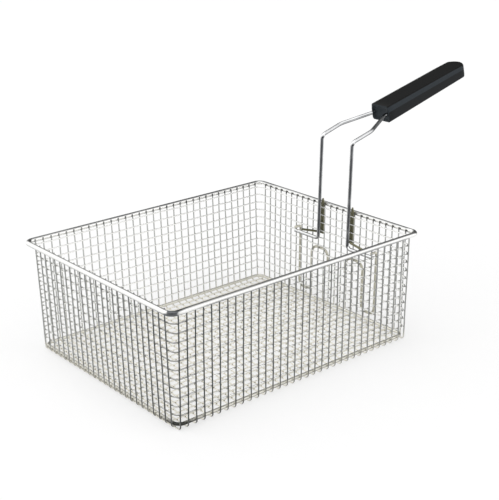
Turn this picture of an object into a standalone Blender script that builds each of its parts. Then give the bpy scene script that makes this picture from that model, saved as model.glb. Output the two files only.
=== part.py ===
"""Deep fryer basket: a welded wire mesh body with a rod rim and a fixed two-rod handle.

The origin is at the bottom centre, +Z is up and X is the long way, with the handle on the +X wall.
Dimensions are in millimetres and are turned into metres where the shapes are made.
"""

import math

import bmesh
import bpy
from mathutils import Matrix, Vector

MM = 0.001

# Wire mesh of the walls and the floor
WIRE_D = 1.2
MESH_PITCH = 8.0
CROSS_WIRES = 33
LONG_WIRES = 25
END_GAP_X = 5.6
END_GAP_Y = 9.7
WELD_GAP = 0.2
WELD_BITE = 0.45
DRAFT_INSET = 2.4

# Hoops of the walls
HOOPS = 12
HOOP_PITCH = 7.89
LOW_HOOP_RISE = 8.8
HOOP_CORNER = 5.5

# Rim rod and bottom ring
RIM_D = 4.4
RIM_CORNER = 6.5
RIM_RISE = 3.1
RING_D = 3.0
RING_CORNER = 6.5

# Handle rods
ROD_D = 3.5
HANDLE_Y = -9.3
LEG_SPREAD = 19.9
LEG_LEAN = 1.5
LEG_BEND = 4.8
FOOT_HOOP = 4
FOOT_BEND = 4.5
FOOT_PAST_HOOK = 1.5
BEND_RISE = 71.8
HANDLE_RISE = math.radians(15.5)
SHOULDER_RUN = 24.4
SHOULDER_SPREAD = 20.4
SHOULDER_BEND = 14.0
ENTRY_SPREAD = 8.2
ENTRY_BEND = 7.0
ENTRY_LEAD = 3.0
NECK_RUN = 56.5

# Grip
GRIP_SHIFT = -1.0
GRIP_TILT = math.radians(13.6)
GRIP_LENGTH = 119.0
GRIP_WIDTH = 22.8
GRIP_HEIGHT = 16.4
GRIP_FAR_HEIGHT = 13.4
GRIP_TOP_EDGE = 1.6
GRIP_SHOULDER = 5.6
GRIP_FLARE = 0.2
GRIP_LOW_EDGE = 1.4
GRIP_END_ROUND = 4.5
GRIP_END_CROWN = 7.0
POCKET_DEPTH = 9.0
POCKET_SIDE_WALL = 1.15
POCKET_TOP_WALL = 3.0
POCKET_CORNER = 2.0
SOCKET_DEPTH = 26.0
SOCKET_GAP = 0.3
SOCKET_END_GAP = 1.0

# Bracket pieces on the handle wall
BRACKET_D = 2.5
STRAP_WIDTH = 5.0
STRAP_THICK = 1.1
STRAP_DROP = 27.0
STRAP_TIP = 3.6
STRAP_TIP_WIDTH = 1.6
STRAP_CELLS = 2.5
BRACE_RISE = 8.0
BRACE_SHORT = 8.0
HOOK_CELLS = 6.5
HOOK_BEND = 2.5
LOOP_INNER = 35.0
LOOP_BOTTOM = 91.0
LOOP_BEND = 7.0
ARCH_TOP = 43.5
ARCH_CELLS = 1.5
ARCH_BEND = 8.0
ARCH_END = 60.0

# Sizes that follow from the ones above
WIRE_R = WIRE_D / 2
RIM_R = RIM_D / 2
RING_R = RING_D / 2
ROD_R = ROD_D / 2
BRACKET_R = BRACKET_D / 2
HALF_X = MESH_PITCH * (CROSS_WIRES - 1) / 2 + END_GAP_X
HALF_Y = MESH_PITCH * (LONG_WIRES - 1) / 2 + END_GAP_Y
CROSS_FLOOR_Z = WIRE_R * math.cos(math.pi / 6)
LONG_FLOOR_Z = CROSS_FLOOR_Z + WIRE_D + WELD_GAP
RING_Z = LONG_FLOOR_Z + WIRE_R + WELD_GAP + RING_R
TOP_HOOP_Z = RING_Z + LOW_HOOP_RISE + HOOP_PITCH * (HOOPS - 1)
RIM_Z = TOP_HOOP_Z + RIM_RISE
HOOP_DEPTH = 2 * WIRE_R + WELD_GAP
HOOP_INSIDE = HOOP_DEPTH + WIRE_R
FOOT_Z = TOP_HOOP_Z - HOOP_PITCH * FOOT_HOOP
BRACKET_Y = -MESH_PITCH
STRAP_SPREAD = STRAP_CELLS * MESH_PITCH
HOOK_SPREAD = HOOK_CELLS * MESH_PITCH
ARCH_SPREAD = ARCH_CELLS * MESH_PITCH

BRIGHT_WIRE = ("Bright plated steel wire", (0.62, 0.61, 0.57), 0.3, 1.0)
POLISHED_ROD = ("Polished steel rod", (0.72, 0.72, 0.71), 0.22, 1.0)
HANDLE_ROD = ("Drawn steel handle rod", (0.6, 0.61, 0.62), 0.28, 1.0)
BRACKET_STEEL = ("Dull plated bracket steel", (0.44, 0.43, 0.33), 0.42, 1.0)
BLACK_PLASTIC = ("Black moulded plastic", (0.012, 0.013, 0.016), 0.38, 0.0)


def clear_scene():
    for old in list(bpy.data.objects):
        bpy.data.objects.remove(old)


def new_collection(name):
    made = bpy.data.collections.new(name)
    bpy.context.scene.collection.children.link(made)
    return made


def material(finish):
    """The finish as a material, made the first time that it is asked for."""
    name, colour, roughness, metallic = finish
    found = bpy.data.materials.get(name)
    if found:
        return found
    made = bpy.data.materials.new(name)
    made.use_nodes = True
    shader = made.node_tree.nodes["Principled BSDF"]
    shader.inputs["Base Color"].default_value = (*colour, 1.0)
    shader.inputs["Roughness"].default_value = roughness
    shader.inputs["Metallic"].default_value = metallic
    made.diffuse_color = (*colour, 1.0)
    return made


def place(name, mesh, finish, smooth=True):
    """Puts a finished mesh into the basket's collection under its own name."""
    mesh.name = name
    mesh.materials.clear()
    mesh.materials.append(material(finish))
    mesh.shade_smooth() if smooth else mesh.shade_flat()
    made = bpy.data.objects.new(name, mesh)
    basket.objects.link(made)
    return made


def curve_mesh(curve):
    """A closed mesh of a curve, with the points of its caps joined to its sides."""
    guide = bpy.data.objects.new("guide", curve)
    bpy.context.scene.collection.objects.link(guide)
    graph = bpy.context.evaluated_depsgraph_get()
    mesh = bpy.data.meshes.new_from_object(guide.evaluated_get(graph))
    bpy.data.objects.remove(guide)
    bpy.data.curves.remove(curve)
    shape = bmesh.new()
    shape.from_mesh(mesh)
    bmesh.ops.remove_doubles(shape, verts=shape.verts, dist=1e-6)
    bmesh.ops.recalc_face_normals(shape, faces=shape.faces)
    shape.to_mesh(mesh)
    shape.free()
    return mesh


def rod_mesh(points, diameter, closed=False, extra_sides=1):
    """A round rod along the points, which are in millimetres. It has 4 + 2 * extra_sides sides."""
    curve = bpy.data.curves.new("rod", "CURVE")
    curve.dimensions = "3D"
    curve.twist_mode = "Z_UP" if closed else "MINIMUM"
    curve.bevel_depth = diameter / 2 * MM
    curve.bevel_resolution = extra_sides
    curve.use_fill_caps = not closed
    spline = curve.splines.new("POLY")
    spline.points.add(len(points) - 1)
    for point, (x, y, z) in zip(spline.points, points):
        point.co = (x * MM, y * MM, z * MM, 1.0)
    spline.use_cyclic_u = closed
    return curve_mesh(curve)


def plate_mesh(outline, thickness):
    """A flat plate with the outline in its own XY plane, half of its thickness on each side."""
    curve = bpy.data.curves.new("plate", "CURVE")
    curve.dimensions = "2D"
    curve.fill_mode = "BOTH"
    curve.extrude = thickness / 2 * MM
    spline = curve.splines.new("POLY")
    spline.points.add(len(outline) - 1)
    for point, (x, y) in zip(spline.points, outline):
        point.co = (x * MM, y * MM, 0.0, 1.0)
    spline.use_cyclic_u = True
    return curve_mesh(curve)


def rounded_rectangle(half_x, half_y, corner, z, steps):
    """Points of a level rounded rectangle, with steps + 1 points in each corner."""
    points = []
    for quarter in range(4):
        side_x = 1 if quarter in (0, 3) else -1
        side_y = 1 if quarter in (0, 1) else -1
        for step in range(steps + 1):
            angle = math.radians(90) * (quarter + step / steps)
            points.append(
                (
                    side_x * (half_x - corner) + corner * math.cos(angle),
                    side_y * (half_y - corner) + corner * math.sin(angle),
                    z,
                )
            )
    return points


def bent(points, radii, steps=4):
    """The path through the points with an arc of the given radius in place of each inner point."""
    path = [Vector(points[0])]
    for before, here, after, radius in zip(points, points[1:], points[2:], radii):
        here = Vector(here)
        back = (Vector(before) - here).normalized()
        ahead = (Vector(after) - here).normalized()
        half = back.angle(ahead) / 2
        reach = radius / math.tan(half)
        centre = here + (back + ahead).normalized() * (radius / math.sin(half))
        start = here + back * reach - centre
        end = here + ahead * reach - centre
        swing = start.angle(end)
        for step in range(steps + 1):
            share = step / steps
            spoke = start * math.sin(swing * (1 - share)) + end * math.sin(swing * share)
            path.append(centre + spoke / math.sin(swing))
    path.append(Vector(points[-1]))
    return path


def narrowing(z):
    """How far the wall has come in at this height from where it stands at the rim."""
    return DRAFT_INSET * (RIM_Z - z) / (RIM_Z - RING_Z)


def wall_x(z):
    return HALF_X - narrowing(z)


def wall_y(z):
    return HALF_Y - narrowing(z)


def u_profile(half, floor_z):
    """A mesh wire bent to a U, as (sideways, z) points from one top end to the other."""
    top_z = RIM_Z + RIM_R - WIRE_R
    bend = RING_Z - floor_z
    side = [(half - narrowing(top_z), top_z)]
    for angle in range(0, 91, 30):
        turn = math.radians(angle)
        side.append(
            (
                half - DRAFT_INSET - bend * (1 - math.cos(turn)),
                RING_Z - bend * math.sin(turn),
            )
        )
    return side + [(-across, z) for across, z in reversed(side)]


def leg_y(z, side):
    """Where a leg stands across the basket at this height. Both lean the same way towards the foot."""
    return HANDLE_Y + side * LEG_SPREAD + LEG_LEAN * (bend_z - z) / (bend_z - FOOT_Z)


clear_scene()
basket = new_collection("Deep fryer basket")
helpers = new_collection("Helpers")


# Rim with the cross wires: 33 U-shaped wires welded to the inner side of the rim rod
rim = place(
    "rim_and_cross_wires",
    rod_mesh(
        rounded_rectangle(
            HALF_X + WIRE_R + WELD_GAP + RIM_R,
            HALF_Y + WIRE_R - WELD_BITE + RIM_R,
            RIM_CORNER,
            RIM_Z,
            steps=6,
        ),
        RIM_D,
        closed=True,
        extra_sides=4,
    ),
    POLISHED_ROD,
)
cross_profile = u_profile(HALF_Y, CROSS_FLOOR_Z)
cross_shape = bmesh.new()
for number in range(CROSS_WIRES):
    x = (number - (CROSS_WIRES - 1) / 2) * MESH_PITCH
    cross_shape.from_mesh(rod_mesh([(x, y, z) for y, z in cross_profile], WIRE_D))
cross_mesh = bpy.data.meshes.new("cross_wires")
cross_shape.to_mesh(cross_mesh)
cross_shape.free()
cross_mesh.materials.append(material(BRIGHT_WIRE))
cross_wires = bpy.data.objects.new("cross_wires", cross_mesh)
cross_wires.hide_render = True
cross_wires.display_type = "WIRE"
helpers.objects.link(cross_wires)
weld = rim.modifiers.new("Weld to rim", "BOOLEAN")
weld.operation = "UNION"
weld.solver = "EXACT"
weld.object = cross_wires


# Lengthwise wires: 25 U-shaped wires that lie on the cross wires along the floor
long_profile = u_profile(HALF_X, LONG_FLOOR_Z)
for number in range(LONG_WIRES):
    y = (number - (LONG_WIRES - 1) / 2) * MESH_PITCH
    place(
        f"long_wire_{number + 1:02d}",
        rod_mesh([(x, y, z) for x, z in long_profile], WIRE_D),
        BRIGHT_WIRE,
    )


# Hoops: rounded rectangles welded to the inner side of the upright wires
for number in range(HOOPS):
    z = TOP_HOOP_Z - number * HOOP_PITCH
    place(
        f"hoop_{number + 1:02d}",
        rod_mesh(
            rounded_rectangle(wall_x(z) - HOOP_DEPTH, wall_y(z) - HOOP_DEPTH, HOOP_CORNER, z, steps=4),
            WIRE_D,
            closed=True,
        ),
        BRIGHT_WIRE,
    )


# Bottom ring: a thicker rod in the angle between the walls and the floor
ring_depth = WIRE_R + WELD_GAP + RING_R
place(
    "bottom_ring",
    rod_mesh(
        rounded_rectangle(wall_x(RING_Z) - ring_depth, wall_y(RING_Z) - ring_depth, RING_CORNER, RING_Z, steps=4),
        RING_D,
        closed=True,
        extra_sides=2,
    ),
    POLISHED_ROD,
)


# Handle rods: grip, neck, shoulder, leg down the inside of the wall, and foot along the wall
leg_depth = HOOP_INSIDE + WELD_GAP + ROD_R
bend_z = TOP_HOOP_Z + BEND_RISE
bend_x = wall_x(bend_z) - leg_depth
foot_x = wall_x(FOOT_Z) - leg_depth
grip_axis = Vector((math.cos(GRIP_TILT), 0.0, math.sin(GRIP_TILT)))
grip_start = Vector(
    (
        bend_x + NECK_RUN,
        HANDLE_Y + GRIP_SHIFT,
        bend_z + NECK_RUN * math.tan(HANDLE_RISE),
    )
)
for name, side in (("handle_rod_left", 1), ("handle_rod_right", -1)):
    entry = grip_start - grip_axis * ENTRY_LEAD + Vector((0.0, side * ENTRY_SPREAD, 0.0))
    corners = [
        (foot_x, BRACKET_Y + side * (HOOK_SPREAD + FOOT_PAST_HOOK), FOOT_Z),
        (foot_x, leg_y(FOOT_Z, side), FOOT_Z),
        (bend_x, leg_y(bend_z, side), bend_z),
        (
            bend_x + SHOULDER_RUN,
            HANDLE_Y + side * SHOULDER_SPREAD,
            bend_z + SHOULDER_RUN * math.tan(HANDLE_RISE),
        ),
        tuple(entry),
        tuple(entry + grip_axis * (ENTRY_LEAD + SOCKET_DEPTH - SOCKET_END_GAP)),
    ]
    bends = (FOOT_BEND, LEG_BEND, SHOULDER_BEND, ENTRY_BEND)
    place(name, rod_mesh(bent(corners, bends), ROD_D, extra_sides=3), HANDLE_ROD)


# Grip: moulded plastic with a flat top, sides that flare downwards and a hollow near end that takes both rods
half_width = GRIP_WIDTH / 2
half_height = GRIP_HEIGHT / 2
half_section = [
    (half_width - GRIP_TOP_EDGE, half_height),
    (half_width - GRIP_TOP_EDGE * 0.6, half_height - GRIP_TOP_EDGE * 0.6),
    (half_width - GRIP_FLARE, half_height - GRIP_SHOULDER),
    (half_width, GRIP_LOW_EDGE - half_height),
    (half_width - GRIP_LOW_EDGE, -half_height),
]
low_edge = half_section[-1][0]
top_edge = half_section[0][0]
inner_shares = (2 / 3, 1 / 3, 0.0, -1 / 3, -2 / 3)
section = (
    half_section
    + [(share * low_edge, -half_height) for share in inner_shares]
    + [(-across, up) for across, up in reversed(half_section)]
    + [(-share * top_edge, half_height) for share in inner_shares]
)
far_centre = half_height - GRIP_FAR_HEIGHT / 2
shape = bmesh.new()
rings = [[shape.verts.new((across * MM, up * MM, 0.0)) for across, up in section]]
for step in range(5):
    angle = math.radians(90) * step / 4
    inset = GRIP_END_ROUND * (1 - math.cos(angle))
    reach = GRIP_LENGTH - GRIP_END_ROUND * (1 - math.sin(angle))
    ring = []
    for across, up in section:
        far_up = half_height - (half_height - up) * GRIP_FAR_HEIGHT / GRIP_HEIGHT
        across_here = across * (1 - inset / half_width)
        up_here = far_centre + (far_up - far_centre) * (1 - inset / (GRIP_FAR_HEIGHT / 2))
        along = reach - GRIP_END_CROWN * (across / half_width) ** 2
        ring.append(shape.verts.new((across_here * MM, up_here * MM, along * MM)))
    rings.append(ring)
for ring, next_ring in zip(rings, rings[1:]):
    for a, b, c, d in zip(ring, ring[1:] + ring[:1], next_ring[1:] + next_ring[:1], next_ring):
        shape.faces.new((a, b, c, d))
shape.faces.new(rings[0])
cap = rings[-1]
shape.faces.new(cap[0:5])
shape.faces.new(cap[10:15])
bottom = cap[4:11]
top = [cap[0]] + cap[:14:-1] + [cap[14]]
for a, b, c, d in zip(bottom, bottom[1:], top[1:], top):
    shape.faces.new((a, b, c, d))
bmesh.ops.recalc_face_normals(shape, faces=shape.faces)
grip_mesh = bpy.data.meshes.new("grip")
shape.to_mesh(grip_mesh)
shape.free()
turn = Matrix(
    (
        (0.0, -math.sin(GRIP_TILT), math.cos(GRIP_TILT)),
        (-1.0, 0.0, 0.0),
        (0.0, math.cos(GRIP_TILT), math.sin(GRIP_TILT)),
    )
).to_4x4()
grip_frame = Matrix.Translation(grip_start * MM) @ turn
grip = place("grip", grip_mesh, BLACK_PLASTIC, smooth=False)
grip.matrix_world = grip_frame

pocket = plate_mesh(
    [
        (x, y)
        for x, y, _ in rounded_rectangle(
            half_width - POCKET_SIDE_WALL, half_height - POCKET_TOP_WALL, POCKET_CORNER, 0.0, steps=3
        )
    ],
    2 * POCKET_DEPTH,
)
cutters = [("pocket", pocket)]
for name, side in (("socket_left", -1), ("socket_right", 1)):
    cutters.append(
        (
            name,
            rod_mesh(
                [
                    (side * ENTRY_SPREAD, 0.0, POCKET_DEPTH / 2),
                    (side * ENTRY_SPREAD, 0.0, SOCKET_DEPTH),
                ],
                ROD_D + 2 * SOCKET_GAP,
                extra_sides=4,
            ),
        )
    )
for name, mesh in cutters:
    cutter = bpy.data.objects.new(name, mesh)
    cutter.matrix_world = grip_frame
    cutter.hide_render = True
    cutter.display_type = "WIRE"
    helpers.objects.link(cutter)
    cut = grip.modifiers.new(name, "BOOLEAN")
    cut.operation = "DIFFERENCE"
    cut.solver = "EXACT"
    cut.object = cutter


# Straps: flat strips with a pointed tip, standing between the hoops and the rim in one mesh cell each
strap_low = TOP_HOOP_Z - STRAP_DROP
strap_high = RIM_Z + RIM_R + STRAP_TIP
strap_length = strap_high - strap_low
strap_outline = [
    (-STRAP_WIDTH / 2, 0.0),
    (STRAP_WIDTH / 2, 0.0),
    (STRAP_WIDTH / 2, strap_length - STRAP_WIDTH / 2),
    (STRAP_TIP_WIDTH / 2, strap_length),
    (-STRAP_TIP_WIDTH / 2, strap_length),
    (-STRAP_WIDTH / 2, strap_length - STRAP_WIDTH / 2),
]
strap_lean = math.atan(DRAFT_INSET / (RIM_Z - RING_Z))
strap_depth = WIRE_R - STRAP_THICK / 2
for name, side in (("strap_left", 1), ("strap_right", -1)):
    strap = place(name, plate_mesh(strap_outline, STRAP_THICK), BRACKET_STEEL, smooth=False)
    strap.rotation_euler = (math.radians(90), 0.0, math.radians(90))
    stand = Matrix.Rotation(strap_lean, 4, "Y") @ strap.rotation_euler.to_matrix().to_4x4()
    foot = Vector((wall_x(strap_low) - strap_depth, BRACKET_Y + side * STRAP_SPREAD, strap_low))
    strap.matrix_world = Matrix.Translation(foot * MM) @ stand


# Braces: short rods inside the wall, from beside each leg down to the outer part of its foot
brace_depth = HOOP_INSIDE + WELD_GAP + BRACKET_R
for name, side in (("brace_left", 1), ("brace_right", -1)):
    high_z = FOOT_Z + BRACE_RISE
    low_z = FOOT_Z + ROD_R + WELD_GAP + BRACKET_R
    high_y = leg_y(high_z, side) + side * (ROD_R + WELD_GAP + BRACKET_R)
    low_y = BRACKET_Y + side * (HOOK_SPREAD - BRACE_SHORT)
    place(
        name,
        rod_mesh(
            [
                (wall_x(high_z) - brace_depth, high_y, high_z),
                (wall_x(low_z) - brace_depth, low_y, low_z),
            ],
            BRACKET_D,
        ),
        BRACKET_STEEL,
    )


# Wall loops: rods outside the handle wall, with a hook that reaches in over the foot
loop_depth = WIRE_R + WELD_GAP + BRACKET_R
hook_z = FOOT_Z + HOOP_PITCH / 2
for name, side in (("wall_loop_left", 1), ("wall_loop_right", -1)):
    outer_y = BRACKET_Y + side * HOOK_SPREAD
    inner_y = BRACKET_Y + side * LOOP_INNER
    end_y = BRACKET_Y + side * ARCH_SPREAD
    bottom_z = TOP_HOOP_Z - LOOP_BOTTOM
    arch_z = TOP_HOOP_Z - ARCH_TOP
    end_z = TOP_HOOP_Z - ARCH_END
    corners = [
        (wall_x(hook_z) - leg_depth - ROD_R, outer_y, hook_z),
        (wall_x(hook_z) + loop_depth, outer_y, hook_z),
        (wall_x(bottom_z) + loop_depth, outer_y, bottom_z),
        (wall_x(bottom_z) + loop_depth, inner_y, bottom_z),
        (wall_x(arch_z) + loop_depth, inner_y, arch_z),
        (wall_x(arch_z) + loop_depth, end_y, arch_z),
        (wall_x(end_z) + loop_depth, end_y, end_z),
    ]
    bends = (HOOK_BEND, LOOP_BEND, LOOP_BEND, ARCH_BEND, ARCH_BEND)
    place(name, rod_mesh(bent(corners, bends), BRACKET_D), BRACKET_STEEL)
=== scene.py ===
"""Deep fryer basket: the finish of every surface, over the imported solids.

The basket is a cage of thin welded wire with a rod rim. Two bent rods carry a moulded grip, and a
few short rods and strips tie them to the wall. Lengths are in millimetres until a mesh is made.
"""

import math

import bpy
import numpy as np
from mathutils import Matrix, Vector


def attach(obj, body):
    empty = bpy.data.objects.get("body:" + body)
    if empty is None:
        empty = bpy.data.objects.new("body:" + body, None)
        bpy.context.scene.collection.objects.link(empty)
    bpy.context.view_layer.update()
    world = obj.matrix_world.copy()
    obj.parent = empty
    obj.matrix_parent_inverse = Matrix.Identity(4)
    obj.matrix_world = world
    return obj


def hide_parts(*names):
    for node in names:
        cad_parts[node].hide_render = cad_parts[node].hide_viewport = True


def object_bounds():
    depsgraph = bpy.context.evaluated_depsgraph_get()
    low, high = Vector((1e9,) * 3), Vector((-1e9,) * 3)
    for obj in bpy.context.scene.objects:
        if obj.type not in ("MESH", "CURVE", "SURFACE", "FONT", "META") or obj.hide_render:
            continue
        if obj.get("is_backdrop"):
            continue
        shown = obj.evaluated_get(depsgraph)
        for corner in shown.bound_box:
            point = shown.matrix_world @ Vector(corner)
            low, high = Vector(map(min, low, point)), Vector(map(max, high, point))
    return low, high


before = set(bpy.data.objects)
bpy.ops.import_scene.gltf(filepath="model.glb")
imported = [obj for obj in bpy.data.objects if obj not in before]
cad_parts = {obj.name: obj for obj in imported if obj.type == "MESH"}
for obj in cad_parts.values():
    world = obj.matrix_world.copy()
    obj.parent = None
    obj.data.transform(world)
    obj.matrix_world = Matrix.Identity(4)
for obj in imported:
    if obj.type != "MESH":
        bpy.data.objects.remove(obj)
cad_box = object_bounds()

# Cross wires
# 33 thin plated wires that run down one long wall, across the floor and up the other long wall.
# Each was cut to length, bent to a U and spot-welded to the hoops and to the inner side of the rim.

WIRE_R = 0.6
WIRE_SIDES = 10
PITCH = 8.0
CROSS_COUNT = 33
CROSS_FLOOR_Z = 0.605
HALF_Y = 105.7
WALL_INSET = 2.4
RIM_R = 2.2
RIM_Z = 102.91
RING_Z = 4.22
TOP_GAP = 0.4
FINE_Z = 100.0
TOP_STEPS = 5
WALL_STEPS = 25
TURN_STEPS = 7
FLOOR_STEPS = 25
CUT_CHAMFER = 0.2

# The wires' unevenness, and the mean distance of their points, by which it advances.
WIRE_WAVE = 0.35
CROSS_STEP = 2.7

# A lift is added to the value of painted light, and paints the steel brighter. The floor and the two
# walls have their own, and the change sets in past BEND_START from the wall's foot. On the near long wall
# the painted light grows away from the corner of the two near walls, and on the far long wall towards its
# end at the near short wall.
# Above these heights the wires on the positive wall are painted darker, as shade, by up to the loss.
TOP_SHADE_START = 100.9
TOP_SHADE_END = 101.7
TOP_SHADE_LOSS = 0.6
BEND_START = 0.4
BEND_FADE = 3.0
FLOOR_LIFT = 0.45
CROSS_NEAR_LIFT = 0.38
CROSS_FAR_LIFT = 0.4

# Noise textures keep mostly between NOISE_LOW and NOISE_HIGH. A die line is LINE_STRETCH times as long as
# it is wide and LINE_DEPTH deep, and the roughness goes this far below and above its mean.
NOISE_LOW = 0.3
NOISE_HIGH = 0.7
PATCH_SHIFT = 0.3
LINE_STRETCH = 40.0
LINE_DEPTH = 0.04
SMOOTHER = 0.05
ROUGHER = 0.07


def linear(hex_colour):
    """sRGB hex to linear RGBA: c / 12.92 where a channel is dark, else ((c + 0.055) / 1.055) ** 2.4."""
    channels = np.array([int(hex_colour[i:i + 2], 16) for i in (1, 3, 5)]) / 255.0
    low = channels / 12.92
    high = ((channels + 0.055) / 1.055) ** 2.4
    return (*np.where(channels <= 0.04045, low, high).tolist(), 1.0)


def add(material, kind, links=(), **settings):
    """One shader node: settings name a property or, as in_NAME or in_NUMBER, the value of an input socket.
    Each link is (output socket of another node, input name or number of this one). The numbered inputs of
    a Map Range are 1 and 2 for the old range and 3 and 4 for the new one, and 6 and 7 of a Mix are its two
    colours."""
    node = material.node_tree.nodes.new(kind)
    for key, value in settings.items():
        if key.startswith("in_"):
            socket = key[3:]
            node.inputs[int(socket) if socket.isdigit() else socket.replace("_", " ")].default_value = value
        else:
            setattr(node, key, value)
    for source, target in links:
        material.node_tree.links.new(source, node.inputs[target])
    return node


def new_material(name, roughness, metallic):
    """A material with its Principled shader, and the shader's node."""
    made = bpy.data.materials.new(name)
    made.use_nodes = True
    shader = made.node_tree.nodes["Principled BSDF"]
    shader.inputs["Roughness"].default_value = roughness
    shader.inputs["Metallic"].default_value = metallic
    return made, shader


def drawn_steel(name, bright_hex, dark_hex, roughness, line_mm, patch_mm, edge=0.5, soft=0.5, floor_hex=None,
                floor_top=0.0):
    """Steel that was drawn through a die: lines along its length, which the UV map follows. They are drawn
    line_mm apart, coarser than real ones, so that they show. Light and shade are painted into the colour: a
    point attribute is 1 where the surface is painted bright, as lit, and 0 where it is painted dark, as
    shaded, and the colour changes over the width soft each way from edge. Cloudy patches shift that change a
    little. A floor tint, if any, is a paler bright colour, painted light with a yellowish tone, and fades out
    between a third of the height floor_top and floor_top."""
    made, shader = new_material(name, roughness, 1.0)
    place = add(made, "ShaderNodeTexCoord")
    patches = add(made, "ShaderNodeTexNoise", [(place.outputs["Object"], "Vector")],
                  in_Scale=1000.0 / patch_mm, in_Detail=3.0, in_Roughness=0.55)
    shift = add(made, "ShaderNodeMapRange", [(patches.outputs["Fac"], 0)], in_1=NOISE_LOW, in_2=NOISE_HIGH,
                in_3=-PATCH_SHIFT * soft, in_4=PATCH_SHIFT * soft)
    painted_light = add(made, "ShaderNodeAttribute", attribute_name="painted_light")
    share = add(made, "ShaderNodeMath", [(painted_light.outputs["Fac"], 0), (shift.outputs[0], 1)], operation="ADD")
    share = add(made, "ShaderNodeMapRange", [(share.outputs[0], 0)], in_1=edge - soft, in_2=edge + soft)
    colour_links = [(share.outputs[0], 0)]
    if floor_hex:
        height = add(made, "ShaderNodeSeparateXYZ", [(place.outputs["Object"], 0)])
        fade = add(made, "ShaderNodeMapRange", [(height.outputs["Z"], 0)], in_1=floor_top / 3000.0,
                   in_2=floor_top / 1000.0, in_3=1.0, in_4=0.0, interpolation_type="SMOOTHSTEP")
        tinted = add(made, "ShaderNodeMix", [(fade.outputs[0], 0)], data_type="RGBA",
                     in_6=linear(bright_hex), in_7=linear(floor_hex))
        colour_links.append((tinted.outputs[2], 7))
    colour = add(made, "ShaderNodeMix", colour_links, data_type="RGBA", in_6=linear(dark_hex),
                 in_7=linear(bright_hex))
    made.node_tree.links.new(colour.outputs[2], shader.inputs["Base Color"])
    stretch = add(made, "ShaderNodeMapping", [(place.outputs["UV"], 0)],
                  in_Scale=(1000.0 / (line_mm * LINE_STRETCH), 1000.0 / line_mm, 1.0))
    lines = add(made, "ShaderNodeTexNoise", [(stretch.outputs[0], "Vector")], in_Scale=1.0, in_Detail=2.0)
    relief = add(made, "ShaderNodeBump", [(lines.outputs["Fac"], "Height")], in_Strength=0.25,
                 in_Distance=LINE_DEPTH / 1000.0)
    made.node_tree.links.new(relief.outputs[0], shader.inputs["Normal"])
    dull = add(made, "ShaderNodeMapRange", [(lines.outputs["Fac"], 0)], in_1=NOISE_LOW, in_2=NOISE_HIGH,
               in_3=roughness - SMOOTHER, in_4=roughness + ROUGHER)
    made.node_tree.links.new(dull.outputs[0], shader.inputs["Roughness"])
    return made


def ramp(value, start, end):
    """0 on the side of start, 1 on the side of end, and an even change between the two."""
    return np.clip((value - start) / (end - start), 0.0, 1.0)


def finish_mesh(name, points, faces, material, uv=None, painted_light=None, sharp_deg=40.0):
    """Makes the mesh from an array of points in mm and a list of faces, with a UV pair for each corner
    and the value of painted light and shade of each point."""
    mesh = bpy.data.meshes.new(name)
    mesh.from_pydata((np.asarray(points) / 1000.0).tolist(), [], faces)
    if uv is not None:
        layer = mesh.uv_layers.new(name="Along the wire")
        layer.data.foreach_set("uv", np.asarray(uv, np.float32).ravel())
    if painted_light is not None:
        values = mesh.attributes.new("painted_light", "FLOAT", "POINT").data
        values.foreach_set("value", np.asarray(painted_light, np.float32).ravel())
    mesh.shade_smooth()
    mesh.set_sharp_from_angle(angle=math.radians(sharp_deg))
    mesh.materials.append(material)
    piece = bpy.data.objects.new(name, mesh)
    bpy.context.scene.collection.objects.link(piece)
    return piece


def tube(name, rings, material, painted_light, along=None, face_width=0.0, closed=False, sharp_deg=40.0):
    """A skin over an array of rings of points: a quad between neighbours on neighbouring rings and, unless
    the last ring joins the first, one face over each end. Where along gives each ring's place in metres,
    the UV map has that along the tube and the count of faces times face_width round it."""
    count, around = rings.shape[:2]
    i, j = np.meshgrid(np.arange(count if closed else count - 1), np.arange(around), indexing="ij")
    k, m = (i + 1) % count, (j + 1) % around
    quads = np.stack([k * around + j, k * around + m, i * around + m, i * around + j], -1)
    faces = quads.reshape(-1, 4).tolist()
    uv = None
    if along is not None:
        u = np.stack([along[i + 1], along[i + 1], along[i], along[i]], -1)
        v = np.stack([j, j + 1, j + 1, j], -1) * face_width
        uv = np.stack([u, v], -1).reshape(-1, 2)
        if not closed:
            uv = np.concatenate([uv, np.zeros((2 * around, 2))])
    if not closed:
        faces += [list(range(around)), [(count - 1) * around + n for n in range(around)][::-1]]
    return finish_mesh(name, rings.reshape(-1, 3), faces, material, uv, painted_light, sharp_deg)


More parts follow.
